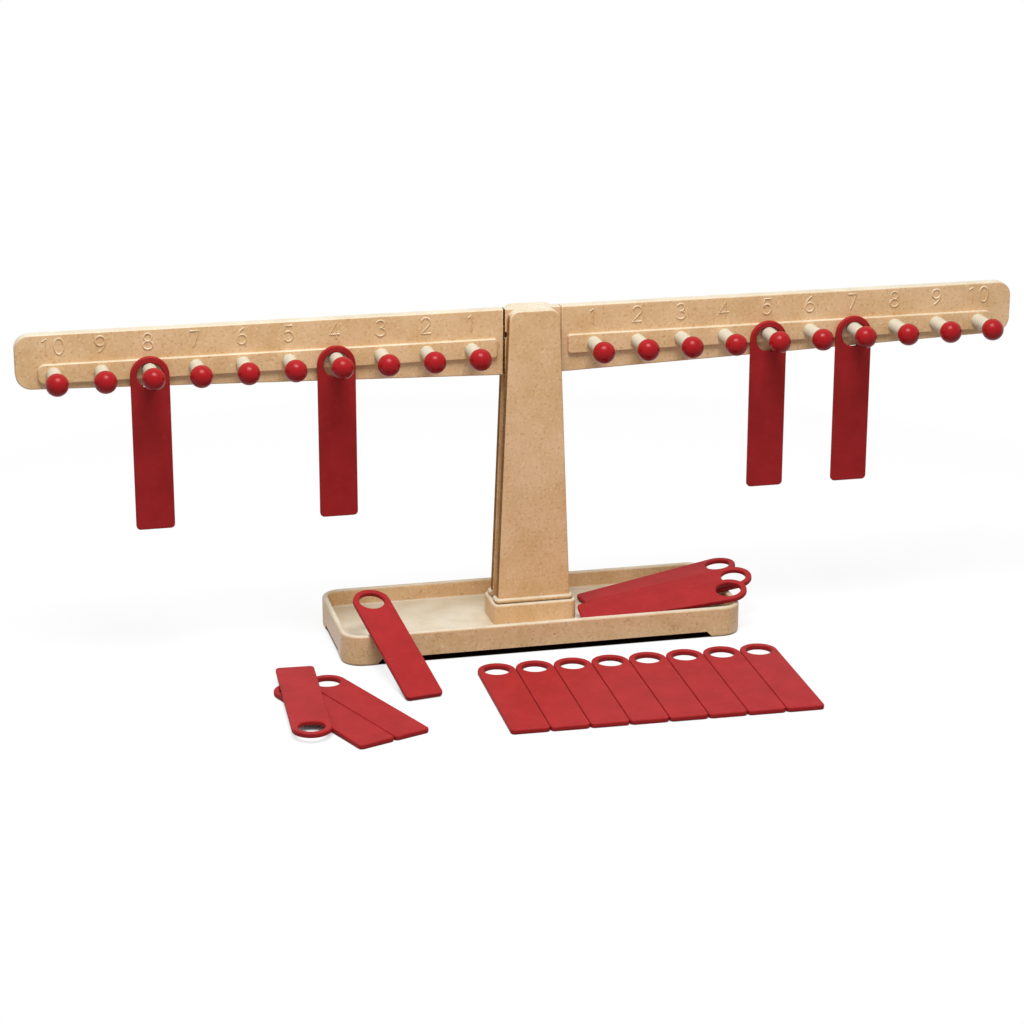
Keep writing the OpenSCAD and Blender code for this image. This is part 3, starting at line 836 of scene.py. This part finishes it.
def model_numerals(name, side):
    """The raised numerals of an arm, each over its peg: round strokes, half sunk in the arm's face."""
    drawing = bpy.data.curves.new(name, "CURVE")
    drawing.dimensions = "3D"
    drawing.bevel_depth = STROKE_R * MM
    drawing.bevel_resolution = 3
    drawing.use_fill_caps = True
    for number in range(1, PEG_COUNT + 1):
        digits = str(number)
        for place, digit in enumerate(digits):
            middle = side * peg_x(number) + (2 * place - len(digits) + 1) * TEN_SPREAD
            for stroke in STROKES[digit]:
                closed = math.dist(stroke[0], stroke[-1]) < NEAR
                points = stroke[:-1] if closed else stroke
                spline = drawing.splines.new("POLY")
                spline.use_cyclic_u = closed
                spline.points.add(len(points) - 1)
                for point, (x, z) in zip(spline.points, points):
                    point.co = ((middle + x * NUMERAL_H) * MM, 0, (NUMERAL_Z + z * NUMERAL_H) * MM, 1)
    numerals = bpy.data.objects.new(name, drawing)
    bpy.context.scene.collection.objects.link(numerals)
    only(numerals)
    bpy.ops.object.convert(target="MESH")
    numerals = bpy.context.object
    pick_all(numerals)
    bpy.ops.mesh.remove_doubles(threshold=MERGE * MM)
    bpy.ops.mesh.normals_make_consistent(inside=False)
    leave()
    numerals.location.y = (STROKE_SINK - BEAM_HY) * MM
    return settle(name)


# The composite's moulded skin, and two darker versions of it that are painted shade: dull brown on the
# shells' narrow sides and dark brown for the core in the gaps
fibre = wood_fibre("wood_fibre_composite", "#D4AB79", "#E2BC90", 0.5)
painted_shade_sides_fibre = wood_fibre("wood_fibre_painted_shade_sides", "#8E6238", "#9C7045", 0)
painted_shade_core_fibre = wood_fibre("wood_fibre_painted_shade_core", "#5C3C20", "#6C4A29", 0)
strip_red = red_strip()
knob_red = red_knob()
cream = cream_stem()
steel = steel_pin()

# The stand
complete(model_tray(), "stand", "wood_fibre", fibre, "base_tray")
front_shell = model_shell()
rear_shell = mirrored(front_shell, "rear_shell", y=-1)
complete(front_shell, "stand", "wood_fibre", fibre, "column_front")
complete(rear_shell, "stand", "wood_fibre", fibre, "column_rear")
# The shells' narrow sides get painted shade: a dull darker brown that stands in for the shade they lie in
refinish(front_shell, painted_shade_sides_fibre, shell_side)
refinish(rear_shell, painted_shade_sides_fibre, shell_side)
# The core in the gap between the shells gets the dark painted-shade finish, and the pin gets steel
for node, finish in (("column_core", painted_shade_core_fibre), ("pivot_pin", steel)):
    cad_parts[node].data.materials.clear()
    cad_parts[node].data.materials.append(finish)

# The beam
hub = model_hub()
complete(hub, "beam", "wood_fibre", fibre, "beam_hub")
right_bar = model_arm()
left_bar = mirrored(right_bar, "left_arm_bar", x=-1)
complete(right_bar, "beam", "wood_fibre", fibre, "right_arm")
complete(left_bar, "beam", "wood_fibre", fibre, "left_arm")
# The hub's left end and the left arm's tongue, seen only in the seam between hub and arm, get the dark
# painted-shade finish so that the seam shows dark
refinish(hub, painted_shade_core_fibre, hub_end)
refinish(left_bar, painted_shade_core_fibre, left_tongue)
stem = model_stem()
knob = model_knob()
for arm_name, side in (("left", -1), ("right", 1)):
    numbers = range(1, PEG_COUNT + 1)
    stems = [duplicate(stem, "stem_copy", shift=(side * peg_x(n), 0, 0)) for n in numbers]
    complete(join(stems, f"{arm_name}_stems"), "beam", "cream_plastic", cream, f"{arm_name}_peg_stems")
    for n in numbers:
        ball = duplicate(knob, f"{arm_name}_ball_{n}", shift=(side * peg_x(n), -SEAT_Y - KNOB_SEAT, PEG_Z))
        complete(ball, "beam", "red_gloss", knob_red, f"{arm_name}_knob_{n}")
    complete(model_numerals(f"{arm_name}_numerals", side), "beam", "wood_fibre", fibre)
bpy.data.objects.remove(stem)
bpy.data.objects.remove(knob)

# The weights
weight = model_weight()
for node in sorted(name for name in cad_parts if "weight" in name):
    strip = duplicate(weight, f"{node}_strip", weight_turn(node))
    low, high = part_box(node)
    corners = [Vector(corner) for corner in strip.bound_box]
    strip.location = (low + high) / 2 - sum(corners, Vector()) / len(corners)
    only(strip)
    settle(strip.name)
    complete(strip, node, "red_matte", strip_red, node)
bpy.data.objects.remove(weight)

# The floor
bpy.ops.object.select_all(action="DESELECT")
bpy.ops.mesh.primitive_plane_add(size=FLOOR_SIZE)
floor = settle("floor")
floor.data.materials.append(paper_floor())

# Studio light: a bright room and one soft lamp overhead, a little to the left and in front
room = bpy.data.worlds.new("studio")
room.use_nodes = True
room.node_tree.nodes.clear()
strength = put(room.node_tree, "ShaderNodeMapRange", {
    "Value": seen_directly(room.node_tree), "To Min": ROOM_LIGHT, "To Max": 1.0,
})
glow = put(room.node_tree, "ShaderNodeBackground", {
    "Color": linear("#FFFFFF"), "Strength": strength.outputs["Result"],
})
put(room.node_tree, "ShaderNodeOutputWorld", {"Surface": glow.outputs["Background"]})
bpy.context.scene.world = room
bpy.ops.object.light_add(type="AREA", location=LAMP_PLACE)
lamp = bpy.context.object
lamp.name = "overhead_softbox"
lamp.data.shape = "RECTANGLE"
lamp.data.size = LAMP_WIDTH
lamp.data.size_y = LAMP_DEPTH
lamp.data.energy = LAMP_POWER
lamp.rotation_euler = (Vector(LAMP_AIM) - lamp.location).to_track_quat("-Z", "Y").to_euler()

# Camera
bpy.ops.object.camera_add()
camera = bpy.context.object
camera.data.lens = LENS
camera.data.sensor_width = SENSOR
camera.matrix_world = (
    Matrix.Translation(CAMERA_PLACE)
    @ Matrix.Rotation(math.radians(CAMERA_TURN), 4, "Z")
    @ Matrix.Rotation(math.radians(90 - CAMERA_DIP), 4, "X")
    @ Matrix.Rotation(math.radians(CAMERA_ROLL), 4, "Z")
)
bpy.context.scene.camera = camera
bpy.context.scene.view_settings.view_transform = "Standard"

# Bring the scene up to date
bpy.context.view_layer.update()
